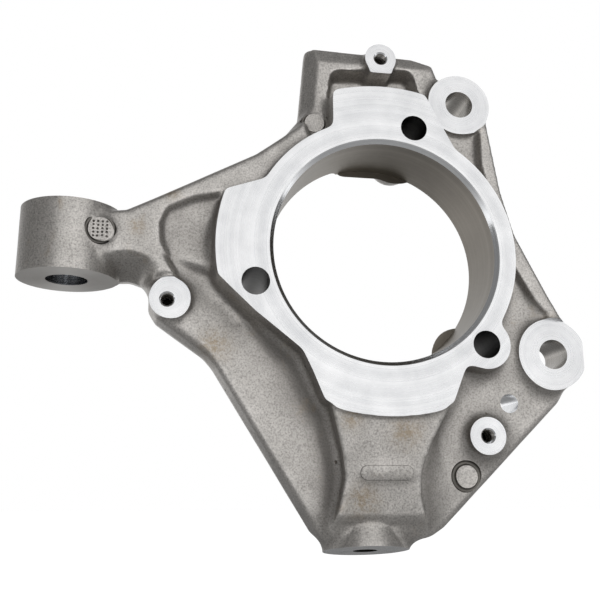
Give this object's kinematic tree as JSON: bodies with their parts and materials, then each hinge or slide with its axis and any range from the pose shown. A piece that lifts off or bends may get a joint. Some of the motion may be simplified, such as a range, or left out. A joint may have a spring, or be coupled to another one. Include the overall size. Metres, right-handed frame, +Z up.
{
  "type": "steering knuckle",
  "caption": "One-piece forged steering knuckle that carries a wheel bearing, with a steering arm, a ball joint seat, calliper bosses and tapped bracket bosses.",
  "frame": {"origin": "centre of the hub bore, in the machined hub face that the wheel bearing bolts to", "axes": "+Z up, towards the top block; -Y out of the hub face, towards the wheel; -X along the steering arm"},
  "size_m": [0.2525, 0.0457, 0.2358],
  "materials": {
    "knuckle": "shot-blasted forging with bright machined faces"
  },
  "bodies": {
    "root": {"knuckle": "knuckle"}
  },
  "joints": []
}
